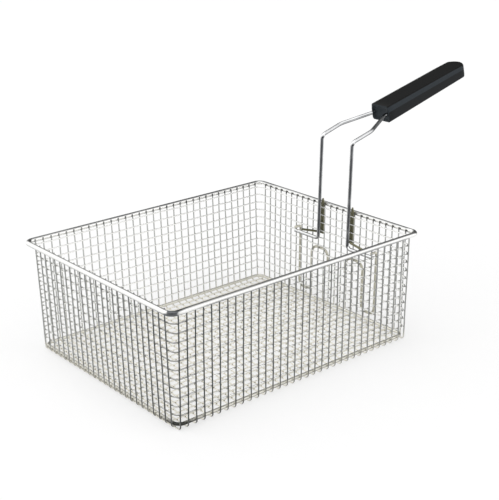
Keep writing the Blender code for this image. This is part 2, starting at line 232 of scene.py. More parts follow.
def round_rod(name, path, radius, sides, across, material, closed=False, inward=1.0, towards=(0.0, 0.0, 0.0),
              lift=0.0):
    """A circle carried along the path. At each point the circle lies square to the path's direction, and
    its zero angle is the cross product of that direction and the vector across. The value of painted light
    is 1 where the surface faces inward times that way plus the vector towards, painted as lit, 0 on the
    opposite side, painted as shaded, and lift, more painted light, is added to it. These three may change
    along the path. An open rod ends in a flat cut with a chamfer of CUT_CHAMFER times the radius, made from
    two narrower circles."""
    path = np.asarray(path, float)
    if closed:
        ahead = np.roll(path, -1, axis=0) - np.roll(path, 1, axis=0)
        scale = np.ones(len(path))
    else:
        ahead = np.gradient(path, axis=0)
        first, last = (ahead[k] / np.linalg.norm(ahead[k]) * radius * CUT_CHAMFER for k in (0, -1))
        path = np.concatenate([path[:1], path[:1] + first, path[1:-1], path[-1:] - last, path[-1:]])
        ends_twice = np.clip(np.arange(len(path)) - 1, 0, len(ahead) - 1)
        ahead = ahead[ends_twice]
        lift = lift[ends_twice] if np.ndim(lift) else lift
        towards = towards[ends_twice] if np.ndim(towards) == 2 else towards
        scale = np.ones(len(path))
        scale[[0, -1]] = 1 - CUT_CHAMFER
    ahead /= np.linalg.norm(ahead, axis=1)[:, None]
    side = np.cross(ahead, across)
    side /= np.linalg.norm(side, axis=1)[:, None]
    up = np.cross(side, ahead)
    angle = np.arange(sides) * 2 * math.pi / sides
    ring = side[:, None] * np.cos(angle)[None, :, None] + up[:, None] * np.sin(angle)[None, :, None]
    facing = side * inward + towards
    facing -= ahead * (facing * ahead).sum(axis=1)[:, None]
    facing /= np.linalg.norm(facing, axis=1)[:, None]
    painted_light = 0.5 + 0.5 * (ring * facing[:, None]).sum(axis=2) + np.broadcast_to(lift, len(path))[:, None]
    step = np.linalg.norm(np.diff(np.concatenate([path, path[:1]]), axis=0), axis=1)
    along = np.concatenate([[0.0], np.cumsum(step)]) / 1000.0
    points = path[:, None] + ring * radius * scale[:, None, None]
    return tube(name, points, material, painted_light, along, 2 * math.pi * radius / sides / 1000.0, closed)


def wall_inset(z):
    """How far the wall has come in at a height, on a straight line from the rim to the bottom ring."""
    return WALL_INSET * (RIM_Z - z) / (RIM_Z - RING_Z)


def u_profile(half, floor_z):
    """(sideways, z) points of a mesh wire: straight down the wall, round a quarter circle that ends on the
    floor, across, and the same again on the other side. The points lie closer together near the cut end."""
    top_z = RIM_Z + RIM_R - WIRE_R - TOP_GAP
    bend = RING_Z - floor_z
    top = np.linspace(top_z, FINE_Z, TOP_STEPS + 1)
    z = np.concatenate([top, np.linspace(FINE_Z, RING_Z, WALL_STEPS + 1)[1:]])
    wall = np.stack([half - wall_inset(z), z], -1)
    turn = np.radians(np.linspace(0, 90, TURN_STEPS + 1))[1:]
    low = half - WALL_INSET
    corner = np.stack([low - bend + bend * np.cos(turn), RING_Z - bend * np.sin(turn)], -1)
    inwards = np.linspace(low - bend, 0, FLOOR_STEPS + 1)[1:]
    floor = np.stack([inwards, np.full(FLOOR_STEPS, floor_z)], -1)
    half_wire = np.concatenate([wall, corner, floor])
    return np.concatenate([half_wire, (half_wire * [-1, 1])[-2::-1]])


def wire_lift(profile, positive_wall, negative_wall):
    """How much painted light a mesh wire has along its path: one value on each wall, by the sign of its
    place, and FLOOR_LIFT on the floor, with an even change where the wire turns inwards. On the positive wall
    the last bit below the cut end is painted darker, as shade."""
    inside = np.abs(profile[0, 0]) - WALL_INSET - BEND_START - np.abs(profile[:, 0])
    floor_share = ramp(inside, 0.0, BEND_FADE)
    wall = np.where(profile[:, 0] < 0, negative_wall, positive_wall)
    top_shade = TOP_SHADE_LOSS * ramp(profile[:, 1], TOP_SHADE_START, TOP_SHADE_END) * (profile[:, 0] > 0)
    return FLOOR_LIFT * floor_share + wall * (1 - floor_share) - top_shade


def wave(along, size, seed):
    """A smooth unevenness: four sines of 24 to 110 mm wavelength with phases drawn from the seed."""
    random = np.random.default_rng(seed)
    lengths = np.array([110.0, 63.0, 38.0, 24.0])
    share = np.array([0.4, 0.3, 0.2, 0.1])
    phase = random.uniform(0, 2 * math.pi, 4)
    return size * (np.sin(along[:, None] * 2 * math.pi / lengths + phase) * share).sum(axis=1)


# Nickel-plated drawn wire with painted light and shade: its inner side is painted light grey and its
# outer side dark grey, so the near walls read as dark lines and the far ones as pale lines. The floor is
# painted brighter, and yellowish.
upright_wire = drawn_steel("Plated drawn upright wire", "#c8c9c7", "#393b3d", roughness=0.28, line_mm=0.12,
                           patch_mm=7.0, edge=0.52, soft=0.4, floor_hex="#f9f6ec", floor_top=10.0)

cross_x = (np.arange(CROSS_COUNT) - (CROSS_COUNT - 1) / 2) * PITCH
cross_profile = u_profile(HALF_Y, CROSS_FLOOR_Z)
run = np.arange(len(cross_profile)) * CROSS_STEP
for number in range(CROSS_COUNT):
    share = number / (CROSS_COUNT - 1)
    x = cross_x[number] + wave(run, WIRE_WAVE, number)
    path = np.stack([x, cross_profile[:, 0], cross_profile[:, 1]], -1)
    lift = wire_lift(cross_profile, CROSS_FAR_LIFT * (1 - share) ** 2, CROSS_NEAR_LIFT * share)
    piece = round_rod(f"cross_wire_{number + 1:02d}", path, WIRE_R, WIRE_SIDES, (1.0, 0.0, 0.0), upright_wire,
                      lift=lift)
    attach(piece, "root")
    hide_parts("rim_and_cross_wires")

# Lengthwise wires
# 25 wires of the same stock, bent to longer Us. They lie on the cross wires along the floor and
# stand in the two short walls.

LONG_COUNT = 25
LONG_STEP = 3.2
LONG_SEED = 100
HALF_X = 133.6
LONG_FLOOR_Z = 1.92
# On the near short wall the wires are painted lighter away from the corner of the two near walls.
LONG_NEAR_LIFT = 0.5
LONG_NEAR_FALL = 0.16

long_y = (np.arange(LONG_COUNT) - (LONG_COUNT - 1) / 2) * PITCH
long_profile = u_profile(HALF_X, LONG_FLOOR_Z)
run = np.arange(len(long_profile)) * LONG_STEP
for number in range(LONG_COUNT):
    share = number / (LONG_COUNT - 1)
    y = long_y[number] + wave(run, WIRE_WAVE, LONG_SEED + number)
    path = np.stack([long_profile[:, 0], y, long_profile[:, 1]], -1)
    name = f"long_wire_{number + 1:02d}"
    lift = wire_lift(long_profile, 0.0, LONG_NEAR_LIFT * share - LONG_NEAR_FALL * share ** 2)
    piece = round_rod(f"lengthwise_wire_{number + 1:02d}", path, WIRE_R, WIRE_SIDES, (0.0, -1.0, 0.0),
                      upright_wire, lift=lift)
    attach(piece, "root")
    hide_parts(name)

# Hoops
# 12 rounded rectangles of the same wire, welded one above the other to the inner side of the
# upright wires. Each was bent round a former, so its corners are tight and its sides a little uneven.

HOOP_COUNT = 12
HOOP_PITCH = 7.89
TOP_HOOP_Z = 99.81
HOOP_DEPTH = 1.4
HOOP_CORNER = 5.5
HOOP_WAVE = 0.4
HOOP_STEP = 6.4
HOOP_SEED = 200

# The painted light rises over HOOP_FADE from the corner of the two near walls and falls again at the handle
# wall, as painted shade.
HOOP_FADE = 45.0
HOOP_LIFT = 1.1
HOOP_START_LIFT = -0.1
HANDLE_WALL_LOSS = 0.9
HANDLE_WALL_START = 12.0
HANDLE_WALL_END = 4.0
HOOP_TOWARDS = (0.0, 0.0, 0.3)


def rounded_rectangle(half_x, half_y, corner, corner_steps, side_steps):
    """Points round a level rectangle: a quarter circle at each corner, and even steps along each side."""
    turn = np.radians(np.linspace(0, 90, corner_steps + 1))
    quarter = corner * np.stack([np.cos(turn), np.sin(turn)], -1)
    centre = np.array([half_x - corner, half_y - corner])
    corners = []
    for n in range(4):
        angle = n * math.pi / 2
        spin = np.array([[math.cos(angle), -math.sin(angle)], [math.sin(angle), math.cos(angle)]])
        sign = np.sign(spin @ np.array([1.0, 1.0]))
        corners.append(quarter @ spin.T + centre * sign)
    path = []
    share = np.linspace(0, 1, side_steps + 1)[1:-1, None]
    for n in range(4):
        here, after = corners[n], corners[(n + 1) % 4]
        path += [here, here[-1] + (after[0] - here[-1]) * share]
    return np.concatenate(path)


# The same wire where it lies level, with painted light and shade: its top and inner side are painted bright
# and its outer side mid grey. It is painted darkest round the corner of the two near walls and on the handle
# wall, as shade.
hoop_wire = drawn_steel("Plated drawn hoop wire", "#f6f6f4", "#8f8f8c", roughness=0.24, line_mm=0.12,
                        patch_mm=7.0)
hoop_z = TOP_HOOP_Z - np.arange(HOOP_COUNT) * HOOP_PITCH
for number, z in enumerate(hoop_z):
    name = f"hoop_{number + 1:02d}"
    inset = wall_inset(z) + HOOP_DEPTH
    flat = rounded_rectangle(HALF_X - inset, HALF_Y - inset, HOOP_CORNER, corner_steps=8, side_steps=34)
    run = np.arange(len(flat)) * HOOP_STEP
    path = np.concatenate([flat, (z + wave(run, HOOP_WAVE, HOOP_SEED + number))[:, None]], axis=1)
    corner_reach = np.hypot(flat[:, 0] + HALF_X, flat[:, 1] + HALF_Y)
    lift = HOOP_START_LIFT + HOOP_LIFT * ramp(corner_reach, 0.0, HOOP_FADE)
    lift -= HANDLE_WALL_LOSS * ramp(flat[:, 0], HALF_X - HANDLE_WALL_START, HALF_X - HANDLE_WALL_END)
    piece = round_rod(f"wall_hoop_{number + 1:02d}", path, WIRE_R, WIRE_SIDES, (0.0, 0.0, -1.0), hoop_wire,
                      closed=True, towards=HOOP_TOWARDS, lift=lift)
    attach(piece, "root")
    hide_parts(name)

# Bottom ring
# A thicker plated rod, bent to a rounded rectangle that lies in the angle between the walls and the
# floor. It is welded to the upright wires and stiffens the bottom edge.

RING_R = 1.5
RING_SIDES = 16
RING_TOWARDS = (0.0, 0.0, 1.0)
RING_CORNER = 6.5
RING_DEPTH = 2.3
RING_LIFT = 0.5
RING_CORNER_LOSS = 1.3
RING_CORNER_START = 14.0
RING_CORNER_END = 11.0

# Plated rod with the floor's yellowish cast, painted bright above and shaded below, and painted dark at the
# corner of the two near walls, as shade.
ring_rod = drawn_steel("Plated ring rod", "#dfddd4", "#40413e", roughness=0.26, line_mm=0.2, patch_mm=12.0)
inset = WALL_INSET + RING_DEPTH
flat = rounded_rectangle(HALF_X - inset, HALF_Y - inset, RING_CORNER, corner_steps=10, side_steps=12)
path = np.concatenate([flat, np.full((len(flat), 1), RING_Z)], axis=1)
corner_reach = np.hypot(flat[:, 0] + HALF_X, flat[:, 1] + HALF_Y)
lift = RING_LIFT - RING_CORNER_LOSS * ramp(corner_reach, RING_CORNER_START, RING_CORNER_END)
piece = round_rod("ring_rod", path, RING_R, RING_SIDES, (0.0, 0.0, -1.0), ring_rod, closed=True,
                  towards=RING_TOWARDS, lift=lift)
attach(piece, "root")
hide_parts("bottom_ring")

# Spot welds
# A small flattened nugget at every crossing, where current and pressure melted the two wires
# together. They are duller than the wire.

NUGGET_WIDE = 0.72
NUGGET_THICK = 0.5
NUGGET_SIDES = 6
SKEW = (0.31, 0.52, 0.8)
WELD_PATCHES = 130.0


def nuggets(name, centres, normals, wide, thick, material):
    """One small ellipsoid per centre, thick along its normal and wide across it: a ball of two poles and
    three rings of points, stretched and turned by whole arrays. SKEW lies along no normal, so its cross
    product with one gives a way across it."""
    band = np.radians([[-45.0], [0.0], [45.0]])
    angle = np.arange(NUGGET_SIDES) * 2 * math.pi / NUGGET_SIDES
    level_ring = np.cos(band)[..., None] * np.stack([np.cos(angle), np.sin(angle), 0 * angle], -1)
    rings = level_ring + np.sin(band)[..., None] * [0.0, 0.0, 1.0]
    ball = np.concatenate([[[0.0, 0.0, -1.0]], rings.reshape(-1, 3), [[0.0, 0.0, 1.0]]])
    top = len(ball) - 1
    j = np.arange(NUGGET_SIDES)
    k = (j + 1) % NUGGET_SIDES
    faces = np.stack([0 * j, 1 + k, 1 + j], -1).tolist()
    for low in (1, 1 + NUGGET_SIDES):
        high = low + NUGGET_SIDES
        faces += np.stack([low + j, low + k, high + k, high + j], -1).tolist()
    faces += np.stack([0 * j + top, high + j, high + k], -1).tolist()
    centres = np.asarray(centres, float)
    normals = np.asarray(normals, float)
    first = np.cross(normals, SKEW)
    first /= np.linalg.norm(first, axis=1)[:, None]
    second = np.cross(normals, first)
    points = (
        centres[:, None]
        + first[:, None] * ball[None, :, :1] * wide
        + second[:, None] * ball[None, :, 1:2] * wide
        + normals[:, None] * ball[None, :, 2:] * thick
    )
    many = [[v + len(ball) * n for v in face] for n in range(len(centres)) for face in faces]
    return finish_mesh(name, points.reshape(-1, 3), many, material, sharp_deg=180.0)


# Fused wire at a spot weld: an oxidised skin, grey with a yellowish cast, that scatters light. It varies
# from weld to weld, in patches of which WELD_PATCHES go to a metre.
weld_metal, weld_shader = new_material("Oxidised spot weld", roughness=0.5, metallic=1.0)
weld_place = add(weld_metal, "ShaderNodeTexCoord")
weld_noise = add(weld_metal, "ShaderNodeTexNoise", [(weld_place.outputs["Object"], "Vector")],
                 in_Scale=WELD_PATCHES)
weld_colour = add(weld_metal, "ShaderNodeMix", [(weld_noise.outputs["Fac"], 0)], data_type="RGBA",
                  in_6=linear("#7c7a70"), in_7=linear("#a6a49a"))
weld_metal.node_tree.links.new(weld_colour.outputs[2], weld_shader.inputs["Base Color"])

centres, normals = [], []
for sign in (-1.0, 1.0):
    x, z = (grid.ravel() for grid in np.meshgrid(cross_x, hoop_z))
    centres.append(np.stack([x, sign * (HALF_Y - wall_inset(z) - HOOP_DEPTH / 2), z], -1))
    normals.append(np.tile([0.0, sign, 0.0], (len(x), 1)))
    y, z = (grid.ravel() for grid in np.meshgrid(long_y, hoop_z))
    centres.append(np.stack([sign * (HALF_X - wall_inset(z) - HOOP_DEPTH / 2), y, z], -1))
    normals.append(np.tile([sign, 0.0, 0.0], (len(y), 1)))
piece = nuggets("wall_spot_welds", np.concatenate(centres), np.concatenate(normals), NUGGET_WIDE,
                NUGGET_THICK, weld_metal)
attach(piece, "root")

x, y = (grid.ravel() for grid in np.meshgrid(cross_x, long_y))
centres = np.stack([x, y, np.full(len(x), (CROSS_FLOOR_Z + LONG_FLOOR_Z) / 2)], -1)
piece = nuggets("floor_spot_welds", centres, np.tile([0.0, 0.0, 1.0], (len(x), 1)), NUGGET_WIDE,
                NUGGET_THICK, weld_metal)
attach(piece, "root")

# Rim
# One thick rod bent to a rounded rectangle around the tops of the wires, polished bright. Every
# wire is welded to its inner side, and a butt weld closes it.

RIM_SIDES = 24
RIM_CORNER = 6.5
RIM_GAP_X = 0.2
RIM_BITE_Y = 0.45
BOX_CLEARANCE = 0.01

# Reaches from the near corner and from the right end, between which each change of painted light and
# shade runs.
SIDE_FADE = 4.0
FAR_FADE = 0.125
STREAK_START = 36.0
STREAK_END = 6.0
CORNER_HIGHLIGHT = 0.4
CORNER_HIGHLIGHT_START = 12.0
CORNER_HIGHLIGHT_END = 7.0
DARK_REFLECTION_LOSS = 0.6
DARK_REFLECTION_START = 7.5
DARK_REFLECTION_END = 3.0
RIM_WELD_WIDE = 0.6
RIM_WELD_THICK = 1.0
RIM_WELD_OUT_X = 0.9
RIM_WELD_OUT_Y = 0.8

# How far the rod's painted highlight faces inwards and upwards, and how much wider it is than half of
# the rod.
LEFT_HIGHLIGHT = (0.2, 1.0, 0.3)
RIGHT_HIGHLIGHT = (-0.9, 0.7, -0.3)
FAR_HIGHLIGHT = (0.0, -1.0, 0.38)

# Polished stainless rod: the brightest metal here, with a long clean highlight that is painted. It is
# painted bright above on the near left side, outwards and above on the near right one, and everywhere but on
# top on the two far ones, and painted dark elsewhere.
rim_steel = drawn_steel("Polished stainless rim rod", "#f2f2f0", "#606264", roughness=0.14, line_mm=0.3,
                        patch_mm=25.0, soft=0.16)
rim_half_x = HALF_X + WIRE_R + RIM_GAP_X + RIM_R - BOX_CLEARANCE
rim_half_y = HALF_Y + WIRE_R - RIM_BITE_Y + RIM_R - BOX_CLEARANCE
flat = rounded_rectangle(rim_half_x, rim_half_y, RIM_CORNER, corner_steps=14, side_steps=34)
path = np.concatenate([flat, np.full((len(flat), 1), RIM_Z)], axis=1)
far_side = ramp(flat[:, 0] / rim_half_x + flat[:, 1] / rim_half_y, -FAR_FADE, FAR_FADE)
corner_y = RIM_CORNER - rim_half_y
right_side = ramp(flat[:, 1], corner_y, corner_y - SIDE_FADE) * (1 - far_side)
left_side = 1 - far_side - right_side
highlights = np.array([LEFT_HIGHLIGHT, RIGHT_HIGHLIGHT, FAR_HIGHLIGHT])
inward, upward, lift = highlights.T @ [left_side, right_side, far_side]

# Beside the corner of the two near walls the right side is painted bright outwards only, which draws a
# narrow painted streak. That corner is painted dark as a dark reflection, and the corner at the right end is
# painted bright all round as a highlight.
near_corner_reach = np.hypot(flat[:, 0] + rim_half_x, flat[:, 1] + rim_half_y)
highlight_reach = np.hypot(flat[:, 0] - rim_half_x, flat[:, 1] + rim_half_y)
upward -= RIGHT_HIGHLIGHT[1] * ramp(near_corner_reach, STREAK_START, STREAK_END) * right_side
lift -= DARK_REFLECTION_LOSS * ramp(near_corner_reach, DARK_REFLECTION_START, DARK_REFLECTION_END)
lift += CORNER_HIGHLIGHT * ramp(highlight_reach, CORNER_HIGHLIGHT_START, CORNER_HIGHLIGHT_END)
piece = round_rod("rim_rod", path, RIM_R, RIM_SIDES, (0.0, 0.0, -1.0), rim_steel, closed=True,
                  inward=inward[:, None], towards=upward[:, None] * [0.0, 0.0, 1.0], lift=lift)
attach(piece, "root")
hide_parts("rim_and_cross_wires")

centres = []
for sign in (-1.0, 1.0):
    y = np.full(CROSS_COUNT, sign * (HALF_Y + WIRE_R * RIM_WELD_OUT_Y))
    centres.append(np.stack([cross_x, y, np.full(CROSS_COUNT, RIM_Z)], -1))
    x = np.full(LONG_COUNT, sign * (HALF_X + WIRE_R * RIM_WELD_OUT_X))
    centres.append(np.stack([x, long_y, np.full(LONG_COUNT, RIM_Z)], -1))
centres = np.concatenate(centres)
piece = nuggets("rim_welds", centres, np.tile([0.0, 0.0, 1.0], (len(centres), 1)), RIM_WELD_WIDE,
                RIM_WELD_THICK, weld_metal)
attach(piece, "root")

# Handle rods
# Two drawn stainless rods, each bent from one length: out of the grip, over the shoulder, down the
# inside of the wall and outward in a foot. Their legs and feet are welded to the wall's hoops.

ROD_R = 1.75
ROD_SIDES = 20
ROD_ACROSS = (0.6, 0.1, -0.8)
HANDLE_Y = -9.3
BRACKET_Y = -8.0
LEG_SPREAD = 19.9
LEG_LEAN = 1.5
LEG_DEPTH = 3.95
SHOULDER_SPREAD = 20.4
SHOULDER_RUN = 24.4
ENTRY_SPREAD = 8.2
ENTRY_LEAD = 3.0
NECK_RUN = 56.5
FOOT_Z = TOP_HOOP_Z - 4 * HOOP_PITCH
BEND_Z = TOP_HOOP_Z + 71.8
RISE = math.tan(math.radians(15.5))
FOOT_REACH = 53.5
FOOT_BEND = 4.5
LEG_BEND = 4.8
SHOULDER_BEND = 14.0
ENTRY_BEND = 7.0
SOCKET_REACH = 25.0
GRIP_SHIFT = -1.0
GRIP_TILT = math.radians(13.6)
GRIP_AXIS = np.array([math.cos(GRIP_TILT), 0.0, math.sin(GRIP_TILT)])
# The painted highlight faces LEG_FACING on the legs and turns to NECK_FACING over NECK_FADE past the bend.
# The neck is painted NECK_LOSS darker, and the right rod a little darker again from its shoulder on, as
# painted shade.
LEG_FACING = np.array([0.5, 0.4, 0.75])
NECK_FACING = np.array([-0.6, -0.7, 0.4])
NECK_FADE = 2.0
NECK_LOSS = 0.72
RIGHT_END_START = -1.0
RIGHT_END_STOP = 3.0
RIGHT_END_LOSS = 0.16


def wall_x(z):
    """Where the upright wires of the handle wall stand at a height."""
    return HALF_X - wall_inset(z)


def leg_y(z, side):
    """Where a leg stands across the basket at a height: both lean the same way on a straight line."""
    return HANDLE_Y + side * LEG_SPREAD + LEG_LEAN * (BEND_Z - z) / (BEND_Z - FOOT_Z)


def bent(corners, radii, steps=10, straight=6):
    """A path through the corners, with each corner between the first and the last replaced by an arc of its
    radius. The arc's points are the start spoke turned towards the end spoke by equal angles, and straights
    get even steps."""
    corners = [np.array(corner, float) for corner in corners]
    share = np.linspace(0, 1, steps + 1)[:, None]
    path = [corners[0][None]]
    for before, here, after, radius in zip(corners, corners[1:], corners[2:], radii):
        back = (before - here) / np.linalg.norm(before - here)
        on = (after - here) / np.linalg.norm(after - here)
        half = math.acos(np.clip(back @ on, -1, 1)) / 2
        middle = (back + on) / np.linalg.norm(back + on)
        centre = here + middle * radius / math.sin(half)
        start = here + back * radius / math.tan(half) - centre
        end = here + on * radius / math.tan(half) - centre
        swing = math.pi - 2 * half
        arc = centre + (start * np.sin(swing * (1 - share)) + end * np.sin(swing * share)) / math.sin(swing)
        path += [path[-1][-1] + (arc[0] - path[-1][-1]) * np.linspace(0, 1, straight + 1)[1:-1, None], arc]
    path += [path[-1][-1] + (corners[-1] - path[-1][-1]) * np.linspace(0, 1, straight + 1)[1:, None]]
    return np.concatenate(path)


# Drawn stainless rod, a little duller than the rim, with painted light and shade. The legs are painted dark
# towards the corner of the two near walls and bright elsewhere, and the neck is the other way round.
handle_steel = drawn_steel("Drawn stainless handle rod", "#e6e7e8", "#525457", roughness=0.16, line_mm=0.25,
                           patch_mm=18.0, edge=0.16, soft=0.15)
bend_x = wall_x(BEND_Z) - LEG_DEPTH
shoulder_x = bend_x + SHOULDER_RUN
grip_start = np.array([bend_x + NECK_RUN, HANDLE_Y + GRIP_SHIFT, BEND_Z + NECK_RUN * RISE])
for name, side in (("handle_rod_left", 1), ("handle_rod_right", -1)):
    foot_x = wall_x(FOOT_Z) - LEG_DEPTH
    entry = grip_start - GRIP_AXIS * ENTRY_LEAD + [0.0, side * ENTRY_SPREAD, 0.0]
    corners = [
        (foot_x, BRACKET_Y + side * FOOT_REACH, FOOT_Z),
        (foot_x, leg_y(FOOT_Z, side), FOOT_Z),
        (bend_x, leg_y(BEND_Z, side), BEND_Z),
        (shoulder_x, HANDLE_Y + side * SHOULDER_SPREAD, BEND_Z + SHOULDER_RUN * RISE),
        entry,
        entry + GRIP_AXIS * (ENTRY_LEAD + SOCKET_REACH),
    ]
    path = bent(corners, (FOOT_BEND, LEG_BEND, SHOULDER_BEND, ENTRY_BEND))
    neck = ramp(path[:, 0], bend_x, bend_x + NECK_FADE)
    towards = LEG_FACING + neck[:, None] * (NECK_FACING - LEG_FACING)
    lift = -NECK_LOSS * neck
    if side < 0:
        lift -= RIGHT_END_LOSS * ramp(path[:, 0] - shoulder_x, RIGHT_END_START, RIGHT_END_STOP)
    piece = round_rod(f"{name}_bar", path, ROD_R, ROD_SIDES, ROD_ACROSS, handle_steel, inward=0.0,
                      towards=towards, lift=lift)
    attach(piece, "root")
    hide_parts(name)

# Wall brackets
# Short pieces that tie the rods to the wall: two flat strips standing in the mesh, two braces from
# leg to foot, and two long hooked loops on the outside of the wall. They are cut from plated rod and
# strip, bent and spot-welded.

WELD_GAP = 0.2
BRACKET_SIDES = 14
BRACE_R = 1.1
BRACE_OFF = 1.25
BRACE_DEPTH = 3.45
BRACE_RISE = 6.5
BRACE_SHORT = 8.0
LOOP_R = 1.25
LOOP_DEPTH = 2.05
LOOP_INNER = 35.0
LOOP_BOTTOM = 91.0
LOOP_BEND = 7.0
HOOK_SPREAD = 52.0
HOOK_BEND = 2.5
ARCH_SPREAD = 12.0
ARCH_TOP = 43.5
ARCH_END = 60.0
ARCH_BEND = 8.0
STRAP_SPREAD = 20.0
STRAP_SHIFT = 1.0
STRAP_WIDTH = 5.4
STRAP_THICK = 1.1
STRAP_OUT = 0.05
STRAP_DROP = 27.0
STRAP_TIP = 3.4
STRAP_CHAMFER = 0.6
STRAP_STEPS = 9
STRAP_FLAT = 0.85
STRAP_END_SHARE = 0.85
STRAP_TIP_SHARES = [0.6, 0.2]
STRAP_FACE = 1.5

# Dull zinc-plated rod of the loops: a pale, warm grey passivated skin with cloudy patches, painted a little
# darker on one side as shade.
bracket_steel = drawn_steel("Dull passivated bracket steel", "#e4e1d4", "#cecbbc", roughness=0.5, line_mm=0.2,
                            patch_mm=4.0)

# The same skin on the strips and braces, painted a dark olive as shade, and lighter along one edge of each
# strip and one side of each brace as painted light.
shaded_strap_steel = drawn_steel("Olive bracket strip with painted shade", "#8c8a72", "#3c3e2b", roughness=0.45, line_mm=0.2,
                          patch_mm=3.0)


def flat_strip(name, y, z, half_width, material):
    """A flat bar that leans with the short wall: at each height its section is a rectangle with cut
    corners, half_width each way from y and STRAP_THICK through the wall's plane. The value of painted light
    goes evenly from 1 at the low-y edge, painted as lit, to 0 at the other, painted as shaded."""
    right = np.array([(STRAP_FLAT, -1), (1, -0.5), (1, 0.5), (STRAP_FLAT, 1)])
    left = right[::-1] * [-1, 1]
    corner = np.concatenate([left[2:], right, left[:2]])
    across = y + half_width[:, None] * corner[None, :, 0]
    depth = wall_x(z)[:, None] + STRAP_OUT + corner[None, :, 1] * STRAP_THICK / 2
    points = np.stack([depth, across, np.broadcast_to(z[:, None], across.shape)], -1)
    painted_light = np.broadcast_to(0.5 - 0.5 * corner[None, :, 0], across.shape)
    return tube(name, points, material, painted_light, z / 1000.0, STRAP_FACE / 1000.0)


for name, side in (("left", 1), ("right", -1)):
    high_z = FOOT_Z + BRACE_RISE
    low_z = FOOT_Z + ROD_R + WELD_GAP + BRACE_OFF
    high_y = leg_y(high_z, side) + side * (ROD_R + WELD_GAP + BRACE_OFF)
    low_y = BRACKET_Y + side * (HOOK_SPREAD - BRACE_SHORT)
    high_end = np.array([wall_x(high_z) - BRACE_DEPTH, high_y, high_z])
    low_end = np.array([wall_x(low_z) - BRACE_DEPTH, low_y, low_z])
    path = high_end + (low_end - high_end) * np.linspace(0, 1, 8)[:, None]
    piece = round_rod(f"brace_{name}_bar", path, BRACE_R, BRACKET_SIDES, (1.0, 0.0, 0.0), shaded_strap_steel)
    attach(piece, "root")
    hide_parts(f"brace_{name}")

    hook_z = FOOT_Z + HOOP_PITCH / 2
    bottom_z = TOP_HOOP_Z - LOOP_BOTTOM
    arch_z = TOP_HOOP_Z - ARCH_TOP
    end_z = TOP_HOOP_Z - ARCH_END
    outer_y = BRACKET_Y + side * HOOK_SPREAD
    inner_y = BRACKET_Y + side * LOOP_INNER
    end_y = BRACKET_Y + side * ARCH_SPREAD
    corners = [
        (wall_x(hook_z) - LEG_DEPTH - ROD_R, outer_y, hook_z),
        (wall_x(hook_z) + LOOP_DEPTH, outer_y, hook_z),
        (wall_x(bottom_z) + LOOP_DEPTH, outer_y, bottom_z),
        (wall_x(bottom_z) + LOOP_DEPTH, inner_y, bottom_z),
        (wall_x(arch_z) + LOOP_DEPTH, inner_y, arch_z),
        (wall_x(arch_z) + LOOP_DEPTH, end_y, arch_z),
        (wall_x(end_z) + LOOP_DEPTH, end_y, end_z),
    ]
    path = bent(corners, (HOOK_BEND, LOOP_BEND, LOOP_BEND, ARCH_BEND, ARCH_BEND))
    piece = round_rod(f"wall_loop_{name}_bar", path, LOOP_R, BRACKET_SIDES, (1.0, 1.0, 1.0), bracket_steel)
    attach(piece, "root")
    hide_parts(f"wall_loop_{name}")

    strip_y = BRACKET_Y + side * STRAP_SPREAD - STRAP_SHIFT
    bottom_z = TOP_HOOP_Z - STRAP_DROP
    straight_z = np.linspace(bottom_z + STRAP_CHAMFER, RIM_Z - RIM_R, STRAP_STEPS)
    z = np.array([bottom_z, *straight_z, RIM_Z + RIM_R, RIM_Z + RIM_R + STRAP_TIP])
    half_width = STRAP_WIDTH / 2 * np.array([STRAP_END_SHARE] + [1.0] * STRAP_STEPS + STRAP_TIP_SHARES)
    piece = flat_strip(f"strap_{name}_strip", strip_y, z, half_width, shaded_strap_steel)
    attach(piece, "root")
    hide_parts(f"strap_{name}")

# Grip
# One moulded black plastic grip around the ends of the rods: flat on top, bulged sides, hollow at
# the near end where the rods go in, and rounded at the far end.

GRIP_LENGTH = 118.4
GRIP_HALF_WIDTH = 11.4
GRIP_HALF_HEIGHT = 8.2
GRIP_FAR_SHARE = 13.4 / 16.4
GRIP_ROUND = 0.5
BODY_START = 8.0
BODY_STATIONS = 16
FALL_START = 0.75
GRIP_CROWN = 7.0
END_ROUND = 2.4
END_FALL = 0.45
STRIP_TOP = 1.0
STRIP_LOW = 6.0
STRIP_START = 0.2
STRIP_SLACK = 0.1
FLANK_SHEEN = 0.2
GRAIN = 0.45
GRAIN_DEPTH = 0.1
WEAR_PATCHES = 60.0

# Stations of the near end as (place along the grip, cut off the outline): out of the hollow and over its
# edge. The shares close the skin in the hollow and over the far end.
NEAR_EDGE = [(1.2, 2.4), (1.0, 2.1), (0.3, 1.9), (0.0, 1.6), (0.0, 0.5), (0.1, 0.15), (0.4, 0.0)]
HOLLOW_SHARES = (0.03, 0.5)
END_SHARES = (0.8, 0.6, 0.4, 0.2, 0.03)


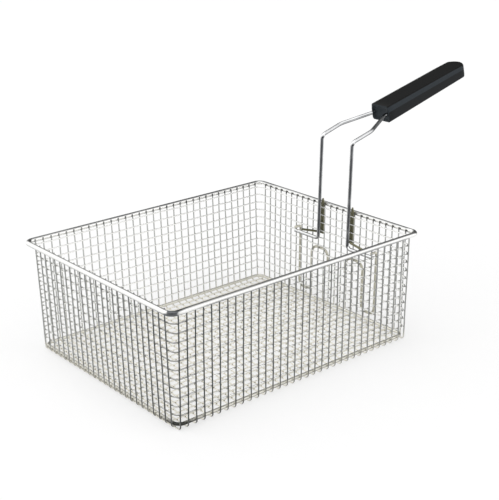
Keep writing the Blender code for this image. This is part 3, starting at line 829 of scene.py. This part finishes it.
def grip_outline():
    """The grip's section as (across, up) points, from the top right corner round the bottom: ten corners,
    each replaced by a quadratic curve between points GRIP_ROUND before and after it, or 0.45 of the shorter
    edge, and eleven even points across the bottom and across the top. The top and bottom edges are bevelled
    and the flanks flare downwards."""
    half = np.array([
        (GRIP_HALF_WIDTH - 1.6, GRIP_HALF_HEIGHT),
        (GRIP_HALF_WIDTH - 1.0, GRIP_HALF_HEIGHT - 0.96),
        (GRIP_HALF_WIDTH - 0.2, GRIP_HALF_HEIGHT - 5.6),
        (GRIP_HALF_WIDTH, 1.4 - GRIP_HALF_HEIGHT),
        (GRIP_HALF_WIDTH - 1.4, -GRIP_HALF_HEIGHT),
    ])
    corner = np.concatenate([half, (half * [-1, 1])[::-1]])
    before = np.roll(corner, 1, axis=0) - corner
    after = np.roll(corner, -1, axis=0) - corner
    before_length = np.linalg.norm(before, axis=1)[:, None]
    after_length = np.linalg.norm(after, axis=1)[:, None]
    reach = np.minimum(GRIP_ROUND, 0.45 * np.minimum(before_length, after_length))
    start = corner + before / before_length * reach
    end = corner + after / after_length * reach
    t = np.linspace(0, 1, 5)[None, :, None]
    curve = (1 - t) ** 2 * start[:, None] + 2 * t * (1 - t) * corner[:, None] + t ** 2 * end[:, None]
    right, left = curve[:5].reshape(-1, 2), curve[5:].reshape(-1, 2)
    share = np.linspace(0, 1, 13)[1:-1, None]
    bottom = right[-1] + (left[0] - right[-1]) * share
    top = left[-1] + (right[0] - left[-1]) * share
    return np.concatenate([right, bottom, left, top])


def grip_mesh(name, material):
    """The outline carried from the middle of the near hollow, out over its edge, along the grip and round
    the far end to the middle of that. Each station has a place along the grip and two shares, by which the
    outline is narrowed across and upwards. The underside rises evenly towards the far end. In the far
    quarter the top falls by a square law, and each point is drawn back by the square of its distance from
    the middle, so the end is crowned. The value of painted sheen is 1 on the near face and on a strip of each
    flank, and a little below the strip."""
    turn = np.radians(np.linspace(0, 90, 6))[1:]
    body = np.linspace(BODY_START, GRIP_LENGTH - END_ROUND, BODY_STATIONS)
    inset = NEAR_EDGE + [(place, 0.0) for place in body]
    inset += [(GRIP_LENGTH - END_ROUND * (1 - math.sin(a)), END_ROUND * (1 - math.cos(a))) for a in turn]
    rings = [(place, 1 - cut / GRIP_HALF_WIDTH, 1 - cut / GRIP_HALF_HEIGHT) for place, cut in inset]
    near, far = rings[0], rings[-1]
    rings = [(near[0], near[1] * k, near[2] * k) for k in HOLLOW_SHARES] + rings
    rings += [(far[0], far[1] * k, far[2] * k) for k in END_SHARES]
    place, wide, high = (column[:, None] for column in np.array(rings).T)
    outline = grip_outline()
    across = outline[:, 0] * wide
    shrink = 1 - (1 - GRIP_FAR_SHARE) * place / GRIP_LENGTH
    up = GRIP_HALF_HEIGHT - (GRIP_HALF_HEIGHT - outline[:, 1] * high) * shrink
    last = ramp(place / GRIP_LENGTH, FALL_START, 1.0) ** 2
    up = up - END_FALL * last * ramp(up, 0.0, GRIP_HALF_HEIGHT)
    along = place - GRIP_CROWN * last * (across / GRIP_HALF_WIDTH) ** 2
    sideways = np.array([0.0, -1.0, 0.0])
    rise = np.array([-math.sin(GRIP_TILT), 0.0, math.cos(GRIP_TILT)])
    points = grip_start + GRIP_AXIS * along[..., None] + sideways * across[..., None] + rise * up[..., None]
    below_top = GRIP_HALF_HEIGHT - outline[:, 1]
    strip = (below_top > STRIP_TOP) & (below_top < STRIP_LOW) & (np.abs(outline[:, 0]) > GRIP_HALF_WIDTH / 2)
    strip = strip & (place > STRIP_START) & (place < GRIP_LENGTH - END_ROUND + STRIP_SLACK)
    painted_sheen = np.where(strip, 1.0, 0.0)
    painted_sheen = np.maximum(painted_sheen, FLANK_SHEEN * (below_top > STRIP_LOW))
    near_face = np.arange(len(rings)) < len(HOLLOW_SHARES) + len(NEAR_EDGE) - 1
    painted_sheen = np.maximum(painted_sheen, near_face[:, None])
    return tube(name, points, material, painted_sheen, sharp_deg=50.0)


# Black glass-filled nylon, moulded in a spark-eroded tool: a deep charcoal with an even grain, drawn
# coarser than it is so that it shows. The near face and a strip of each flank have a painted sheen of dark
# bluish grey, the flanks below it a little, and the black itself varies in patches of which WEAR_PATCHES go
# to a metre.
grip_plastic, grip_shader = new_material("Moulded black nylon", roughness=0.5, metallic=0.0)
grip_shader.inputs["Specular IOR Level"].default_value = 0.17
grip_place = add(grip_plastic, "ShaderNodeTexCoord")
grain = add(grip_plastic, "ShaderNodeTexNoise", [(grip_place.outputs["Object"], "Vector")],
            in_Scale=1000.0 / GRAIN, in_Detail=3.0, in_Roughness=0.6)
grip_relief = add(grip_plastic, "ShaderNodeBump", [(grain.outputs["Fac"], "Height")], in_Strength=0.35,
                  in_Distance=GRAIN_DEPTH / 1000.0)
grip_plastic.node_tree.links.new(grip_relief.outputs[0], grip_shader.inputs["Normal"])
wear = add(grip_plastic, "ShaderNodeTexNoise", [(grip_place.outputs["Object"], "Vector")],
           in_Scale=WEAR_PATCHES)
grip_colour = add(grip_plastic, "ShaderNodeMix", [(wear.outputs["Fac"], 0)], data_type="RGBA",
                  in_6=linear("#030404"), in_7=linear("#070808"))
sheen_share = add(grip_plastic, "ShaderNodeAttribute", attribute_name="painted_light")
grip_colour = add(grip_plastic, "ShaderNodeMix", [(sheen_share.outputs["Fac"], 0), (grip_colour.outputs[2], 6)],
                  data_type="RGBA", in_7=linear("#2a3035"))
grip_plastic.node_tree.links.new(grip_colour.outputs[2], grip_shader.inputs["Base Color"])
piece = grip_mesh("handle_grip", grip_plastic)
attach(piece, "root")
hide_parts("grip")

# Stage
# A pale floor, a soft studio and the camera at the photograph's angle. The floor shows white to the
# camera and to the metal that mirrors it, and keeps the basket's soft shadow.

FLOOR_CORNERS = [(-20, -20, 0), (20, -20, 0), (20, 20, 0), (-20, 20, 0)]
WHITE_SHARE = 0.55

floor_mesh = bpy.data.meshes.new("studio_floor")
floor_mesh.from_pydata(FLOOR_CORNERS, [], [(0, 1, 2, 3)])
studio_floor = bpy.data.objects.new("studio_floor", floor_mesh)
bpy.context.scene.collection.objects.link(studio_floor)
floor_paint, floor_shader = new_material("Pale studio floor", roughness=0.9, metallic=0.0)
floor_shader.inputs["Base Color"].default_value = linear("#fbfbfb")
floor_shader.inputs["Specular IOR Level"].default_value = 0.0
rays = add(floor_paint, "ShaderNodeLightPath")
seen = add(floor_paint, "ShaderNodeMath", operation="MAXIMUM",
           links=[(rays.outputs["Is Camera Ray"], 0), (rays.outputs["Is Glossy Ray"], 1)])
seen = add(floor_paint, "ShaderNodeMath", operation="MAXIMUM",
           links=[(seen.outputs[0], 0), (rays.outputs["Is Transmission Ray"], 1)])
part = add(floor_paint, "ShaderNodeMath", [(seen.outputs[0], 0)], operation="MULTIPLY", in_1=WHITE_SHARE)
white = add(floor_paint, "ShaderNodeEmission", in_Strength=1.0)
mixed = add(floor_paint, "ShaderNodeMixShader",
            [(part.outputs[0], 0), (floor_shader.outputs[0], 1), (white.outputs[0], 2)])
floor_output = floor_paint.node_tree.nodes["Material Output"]
floor_paint.node_tree.links.new(mixed.outputs[0], floor_output.inputs["Surface"])
floor_mesh.materials.append(floor_paint)
studio_floor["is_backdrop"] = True

# The studio is one smooth dome, dim along the horizon and brighter in two steps towards the top. Each lobe
# is its middle direction, the cosines between which it sets in, its value outside and inside, and how it
# joins the dome. The first two brighten it, and the others dim it and give the metal its dark streaks.
LOBES = {
    "window": ((-0.75, 0.66, 0.05), 0.3, 0.75, 0.0, 1.25, "MAXIMUM"),
    "door": ((0.604, -0.720, 0.342), 0.72, 0.92, 0.0, 1.4, "MAXIMUM"),
    "unlit room": ((-0.604, -0.720, 0.342), 0.955, 0.985, 1.0, 0.1, "MULTIPLY"),
    "dark screen": ((0.84, 0.39, 0.375), 0.64, 0.93, 1.0, 0.15, "MULTIPLY"),
    "dull ceiling": ((0.60, -0.20, 0.77), 0.82, 0.96, 1.0, 0.6, "MULTIPLY"),
}
studio = bpy.data.worlds.new("Soft studio")
bpy.context.scene.world = studio
studio.use_nodes = True
sky = studio.node_tree.nodes["Background"]
direction = add(studio, "ShaderNodeTexCoord")
split = add(studio, "ShaderNodeSeparateXYZ", [(direction.outputs["Generated"], 0)])
low = add(studio, "ShaderNodeMapRange", [(split.outputs["Z"], 0)], in_1=0.2, in_2=0.6, in_3=0.35, in_4=1.1,
          interpolation_type="SMOOTHSTEP")
high = add(studio, "ShaderNodeMapRange", [(split.outputs["Z"], 0)], in_1=0.6, in_2=0.9, in_3=0.0, in_4=0.5)
light = add(studio, "ShaderNodeMath", [(low.outputs[0], 0), (high.outputs[0], 1)], operation="ADD")
for title, (middle, start, end, outside, inside, joined) in LOBES.items():
    cosine = add(studio, "ShaderNodeVectorMath", [(direction.outputs["Generated"], 0)],
                 operation="DOT_PRODUCT", in_1=middle)
    lobe = add(studio, "ShaderNodeMapRange", [(cosine.outputs["Value"], 0)], label=title, in_1=start,
               in_2=end, in_3=outside, in_4=inside, interpolation_type="SMOOTHSTEP")
    light = add(studio, "ShaderNodeMath", [(light.outputs[0], 0), (lobe.outputs[0], 1)], operation=joined)
studio.node_tree.links.new(light.outputs[0], sky.inputs["Color"])
sky.inputs["Strength"].default_value = 1.0

# The camera's place is in millimetres. FRAME_PX is the photograph's longer side, and the lens and its
# shift are in the photograph's pixels.
CAMERA_PLACE = np.array([-570.79, -719.96, 429.06]) / 1000.0
YAW, PITCH_DOWN, ROLL = (math.radians(a) for a in (50.0586, 20.2416, -0.7629))
FRAME_PX = 500.0
FOCAL_PX = 1098.1
SHIFT_X_PX = -1.0
SHIFT_Y_PX = 0.5
ahead = np.array([math.cos(YAW), math.sin(YAW), 0.0])
level = np.array([math.sin(YAW), -math.cos(YAW), 0.0])
forward = ahead * math.cos(PITCH_DOWN) - np.array([0.0, 0.0, math.sin(PITCH_DOWN)])
rise = np.cross(level, forward)
right = level * math.cos(ROLL) + rise * math.sin(ROLL)
upward = rise * math.cos(ROLL) - level * math.sin(ROLL)
lens = bpy.data.cameras.new("Photo view")
lens.lens = FOCAL_PX * lens.sensor_width / FRAME_PX
lens.shift_x = SHIFT_X_PX / FRAME_PX
lens.shift_y = SHIFT_Y_PX / FRAME_PX
camera = bpy.data.objects.new("Photo view", lens)
camera.matrix_world = Matrix([
    [right[k], upward[k], -forward[k], CAMERA_PLACE[k]] for k in range(3)
] + [[0.0, 0.0, 0.0, 1.0]])
bpy.context.scene.collection.objects.link(camera)
bpy.context.scene.camera = camera
bpy.context.scene.view_settings.view_transform = "Standard"


def plain(value):
    """Nested lists of plain numbers from any nested sequence."""
    return [plain(part) for part in value] if hasattr(value, "__len__") else float(value)


{"cad": plain(cad_box), "visual": plain(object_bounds())}
